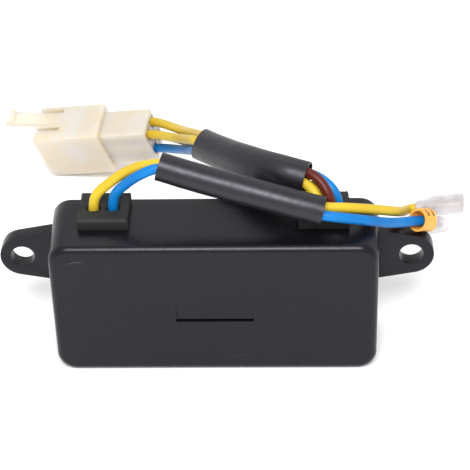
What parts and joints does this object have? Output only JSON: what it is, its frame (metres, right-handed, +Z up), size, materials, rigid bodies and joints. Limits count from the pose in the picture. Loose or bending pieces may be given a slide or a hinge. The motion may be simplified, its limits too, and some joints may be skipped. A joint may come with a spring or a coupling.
{
  "type": "automatic voltage regulator",
  "caption": "Potted automatic voltage regulator for a portable generator: black case with bolt ears, rubber grommets, sleeved leads, spade terminals and a latching plug",
  "frame": {"origin": "middle of the underside of the case, measured without the leads and what is on them", "axes": "+X along the case towards the grommet with four leads, +Y towards the open potted back, +Z up from the long narrow side to the grommets"},
  "size_m": [0.1295, 0.1015, 0.058],
  "materials": {
    "case_plastic": "fine moulded grain, slightly satin",
    "grommet_rubber": "rough matt rubber",
    "resin": "poured black epoxy, smooth",
    "board_laminate": "green solder mask",
    "can_sleeve": "dark shrink sleeve",
    "film_box": "smooth moulded box",
    "chip_epoxy": "moulded epoxy",
    "resistor_ceramic": "white ceramic",
    "trimmer_blue": "moulded blue plastic",
    "sleeve_vinyl": "soft black vinyl tube with a dull sheen",
    "lead_yellow": "smooth yellow insulation",
    "lead_blue": "smooth blue insulation",
    "lead_brown": "smooth brown insulation",
    "marker_orange": "matt orange vinyl",
    "clear_vinyl": "clear soft vinyl",
    "terminal_brass": "stamped brass",
    "plug_nylon": "natural nylon, slightly yellowed"
  },
  "bodies": {
    "root": {"case_shell": "case_plastic", "left_grommet": "grommet_rubber", "right_grommet": "grommet_rubber", "potting_resin": "resin", "circuit_board": "board_laminate", "filter_capacitor": "can_sleeve", "film_capacitor": "film_box", "bridge_rectifier": "chip_epoxy", "power_resistor": "resistor_ceramic", "power_transistor": "chip_epoxy", "flyback_diode": "chip_epoxy", "zener_diode": "chip_epoxy", "voltage_trimmer": "trimmer_blue", "lower_sleeve": "sleeve_vinyl", "yellow_field_lead": "lead_yellow", "blue_field_lead": "lead_blue", "upper_sleeve": "sleeve_vinyl", "yellow_plug_lead_1": "lead_yellow", "yellow_plug_lead_2": "lead_yellow", "blue_plug_lead": "lead_blue", "brown_plug_lead": "lead_brown", "wire_marker": "marker_orange", "yellow_terminal_cover": "clear_vinyl", "yellow_terminal": "terminal_brass", "blue_terminal_cover": "clear_vinyl", "blue_terminal": "terminal_brass", "connector_housing": "plug_nylon", "connector_pin_1": "terminal_brass", "connector_pin_2": "terminal_brass", "connector_pin_3": "terminal_brass", "connector_pin_4": "terminal_brass"}
  },
  "joints": []
}
